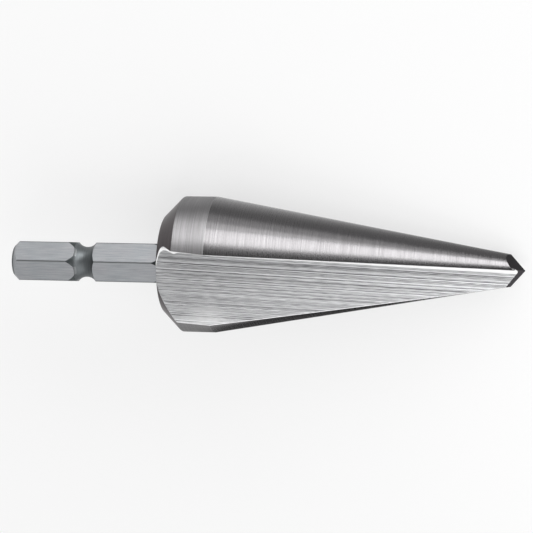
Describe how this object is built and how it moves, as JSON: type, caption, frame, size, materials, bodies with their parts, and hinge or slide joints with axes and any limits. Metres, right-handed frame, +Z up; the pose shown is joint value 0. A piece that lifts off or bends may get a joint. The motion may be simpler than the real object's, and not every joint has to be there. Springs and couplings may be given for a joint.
{
  "type": "conical sheet metal drill bit",
  "caption": "One-piece conical drill for sheet metal: a smooth tapered cutter with straight flutes, a ground point and a quarter-inch hex shank.",
  "frame": {"origin": "middle of the bounding box, on the surface that the drill lies on", "axes": "+X from the shank towards the point, +Z up with the drill lying on the two edges of one flute, so that its own axis dips towards the point"},
  "size_m": [0.0834, 0.022, 0.0191],
  "materials": {
    "tool_steel": "bare ground high-speed steel with fine grinding lines round the cone and along the flutes"
  },
  "bodies": {
    "root": {"cone_drill": "tool_steel"}
  },
  "joints": []
}
